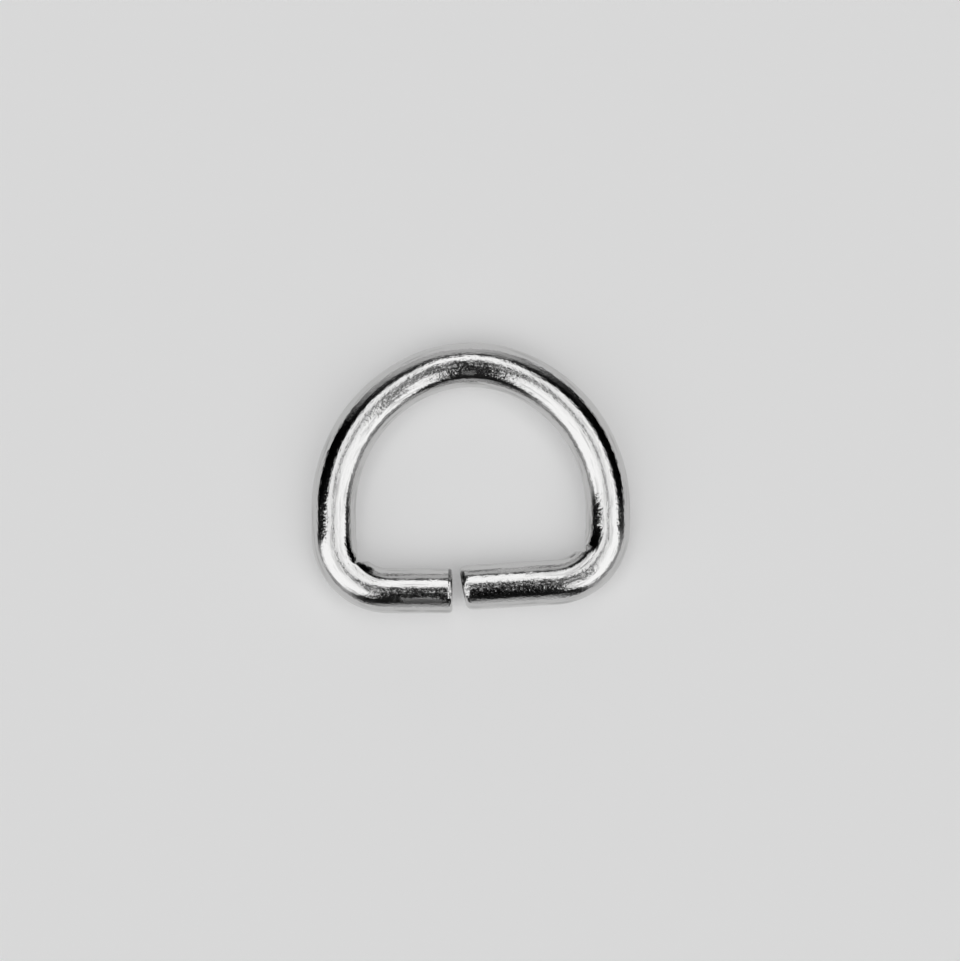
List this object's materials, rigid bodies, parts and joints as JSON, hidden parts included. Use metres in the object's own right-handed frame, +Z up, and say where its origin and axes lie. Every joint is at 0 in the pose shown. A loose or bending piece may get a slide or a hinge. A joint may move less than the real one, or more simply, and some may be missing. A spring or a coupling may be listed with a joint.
{
  "type": "d ring",
  "caption": "Wire D ring: round steel wire bent to a D with a narrow butt gap in its straight bar, bright nickel finish, for sewing onto a strap.",
  "frame": {"origin": "middle of the ring's outline, on the surface it lies on", "axes": "+X along the straight bar, +Y from the bar towards the arch, +Z up out of the plane that the ring lies in"},
  "size_m": [0.0278, 0.0236, 0.0039],
  "materials": {
    "plated_wire": "bright nickel plate over drawn steel wire, with fine pits and draw lines"
  },
  "bodies": {
    "root": {"d_ring": "plated_wire"}
  },
  "joints": []
}
